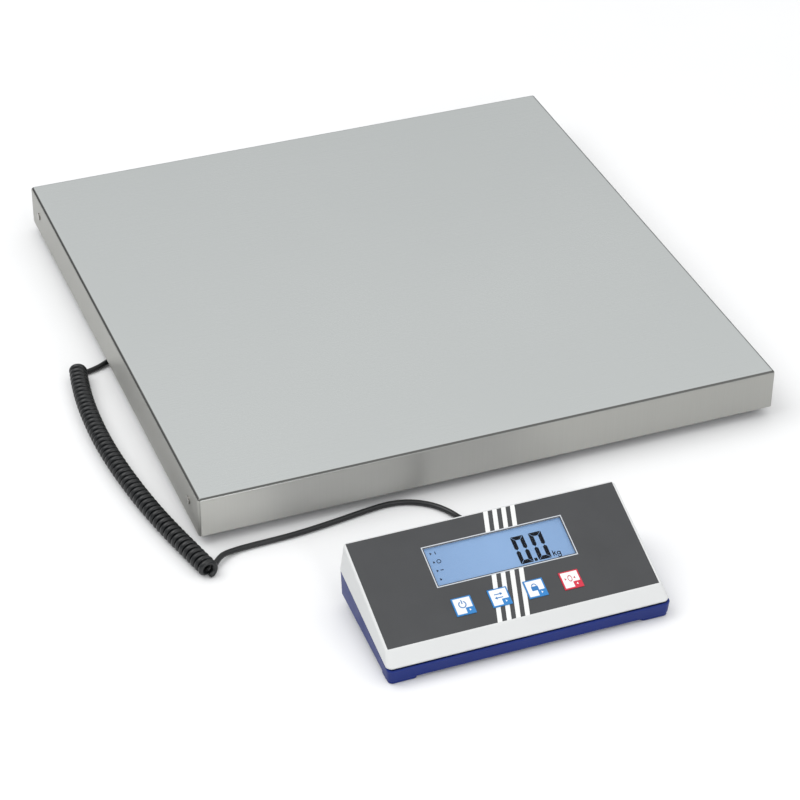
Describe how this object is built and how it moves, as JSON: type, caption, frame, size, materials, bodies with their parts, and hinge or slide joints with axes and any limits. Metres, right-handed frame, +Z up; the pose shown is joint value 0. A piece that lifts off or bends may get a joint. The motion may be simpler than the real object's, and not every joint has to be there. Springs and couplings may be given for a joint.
{
  "type": "platform shipping scale",
  "caption": "Low square weighing platform with a stainless cover, joined by a curly lead to a separate wedge-shaped display unit with a backlit window and push keys.",
  "frame": {"origin": "on the floor, midway across the platform and midway between its back edge and the display unit's front edge", "axes": "+X right and +Y away from the user who reads the display, +Z up"},
  "size_m": [0.5986, 0.7756, 0.0612],
  "materials": {
    "stainless_cover": "brushed",
    "frame_paint": "satin",
    "plated_steel": "satin",
    "cell_aluminium": "satin",
    "black_plastic": "matte",
    "rubber": "matte",
    "grey_cable": "satin",
    "cord": "satin",
    "white_housing": "satin",
    "blue_housing": "satin",
    "foil": "matte",
    "clear_window": "gloss",
    "lcd": "gloss",
    "backlight": "matte",
    "circuit_board": "satin",
    "key_blue": "satin",
    "key_red": "satin",
    "battery_can": "satin"
  },
  "bodies": {
    "scale": {"batteries": "battery_can", "battery_contacts": "plated_steel", "cable_clips": "black_plastic", "cell_cables": "grey_cable", "cell_glands": "black_plastic", "cell_screws": "plated_steel", "cell_spacers": "plated_steel", "cover": "stainless_cover", "cover_screws": "plated_steel", "cross_member_back": "frame_paint", "cross_member_front": "frame_paint", "display_feet": "rubber", "display_gland": "black_plastic", "end_rail_back": "frame_paint", "end_rail_front": "frame_paint", "face_foil": "foil", "foot_nuts": "plated_steel", "housing_screws": "plated_steel", "junction_box": "black_plastic", "junction_bracket": "frame_paint", "junction_lid": "black_plastic", "junction_screws": "plated_steel", "key_switches": "plated_steel", "lcd_backlight": "backlight", "lcd_frame": "black_plastic", "lcd_glass": "lcd", "lcd_window": "clear_window", "lead_coil": "cord", "lead_to_display": "cord", "lead_to_platform": "cord", "load_cell_back_left": "cell_aluminium", "load_cell_back_right": "cell_aluminium", "load_cell_front_left": "cell_aluminium", "load_cell_front_right": "cell_aluminium", "lower_housing": "blue_housing", "main_board": "circuit_board", "platform_gland": "black_plastic", "power_inlet": "black_plastic", "side_rail_left": "frame_paint", "side_rail_right": "frame_paint", "summing_board": "circuit_board", "upper_housing": "white_housing"},
    "foot_front_left": {"foot_sole_front_left": "rubber", "foot_cap_front_left": "black_plastic"},
    "stud_front_left": {"foot_stud_front_left": "plated_steel"},
    "foot_back_left": {"foot_sole_back_left": "rubber", "foot_cap_back_left": "black_plastic"},
    "stud_back_left": {"foot_stud_back_left": "plated_steel"},
    "foot_front_right": {"foot_sole_front_right": "rubber", "foot_cap_front_right": "black_plastic"},
    "stud_front_right": {"foot_stud_front_right": "plated_steel"},
    "foot_back_right": {"foot_sole_back_right": "rubber", "foot_cap_back_right": "black_plastic"},
    "stud_back_right": {"foot_stud_back_right": "plated_steel"},
    "key_power": {"key_power": "key_blue"},
    "key_units": {"key_units": "key_blue"},
    "key_hold": {"key_hold": "key_blue"},
    "key_zero": {"key_zero": "key_red"},
    "battery_door": {"battery_door": "blue_housing"}
  },
  "joints": [
    {"name": "foot_height_front_left", "type": "slide", "parent": "scale", "child": "foot_front_left", "axis": [0, 0, 1], "range_m": [-0.006, 0.002]},
    {"name": "stud_turn_front_left", "type": "hinge", "parent": "foot_front_left", "child": "stud_front_left", "pos_m": [-0.246, -0.133, 0.01], "axis": [0, 0, 1], "range_deg": [-1730, 578]},
    {"name": "foot_height_back_left", "type": "slide", "parent": "scale", "child": "foot_back_left", "axis": [0, 0, 1], "range_m": [-0.006, 0.002]},
    {"name": "stud_turn_back_left", "type": "hinge", "parent": "foot_back_left", "child": "stud_back_left", "pos_m": [-0.246, 0.359, 0.01], "axis": [0, 0, 1], "range_deg": [-1730, 578]},
    {"name": "foot_height_front_right", "type": "slide", "parent": "scale", "child": "foot_front_right", "axis": [0, 0, 1], "range_m": [-0.006, 0.002]},
    {"name": "stud_turn_front_right", "type": "hinge", "parent": "foot_front_right", "child": "stud_front_right", "pos_m": [0.246, -0.133, 0.01], "axis": [0, 0, 1], "range_deg": [-1730, 578]},
    {"name": "foot_height_back_right", "type": "slide", "parent": "scale", "child": "foot_back_right", "axis": [0, 0, 1], "range_m": [-0.006, 0.002]},
    {"name": "stud_turn_back_right", "type": "hinge", "parent": "foot_back_right", "child": "stud_back_right", "pos_m": [0.246, 0.359, 0.01], "axis": [0, 0, 1], "range_deg": [-1730, 578]},
    {"name": "key_power_press", "type": "slide", "parent": "scale", "child": "key_power", "axis": [0, 0.3383, -0.941], "range_m": [0, 0.0004], "stiffness_N_per_m": 4000},
    {"name": "key_units_press", "type": "slide", "parent": "scale", "child": "key_units", "axis": [0, 0.3383, -0.941], "range_m": [0, 0.0004], "stiffness_N_per_m": 4000},
    {"name": "key_hold_press", "type": "slide", "parent": "scale", "child": "key_hold", "axis": [0, 0.3383, -0.941], "range_m": [0, 0.0004], "stiffness_N_per_m": 4000},
    {"name": "key_zero_press", "type": "slide", "parent": "scale", "child": "key_zero", "axis": [0, 0.3383, -0.941], "range_m": [0, 0.0004], "stiffness_N_per_m": 4000},
    {"name": "battery_door_slide", "type": "slide", "parent": "scale", "child": "battery_door", "axis": [0, 0.9968, 0.0797], "range_m": [0, 0.056]}
  ],
  "couplings": [
    {"joint": "stud_turn_front_left", "follows": "foot_height_front_left", "rad_per_m": 5026.5},
    {"joint": "stud_turn_back_left", "follows": "foot_height_back_left", "rad_per_m": 5026.5},
    {"joint": "stud_turn_front_right", "follows": "foot_height_front_right", "rad_per_m": 5026.5},
    {"joint": "stud_turn_back_right", "follows": "foot_height_back_right", "rad_per_m": 5026.5}
  ]
}
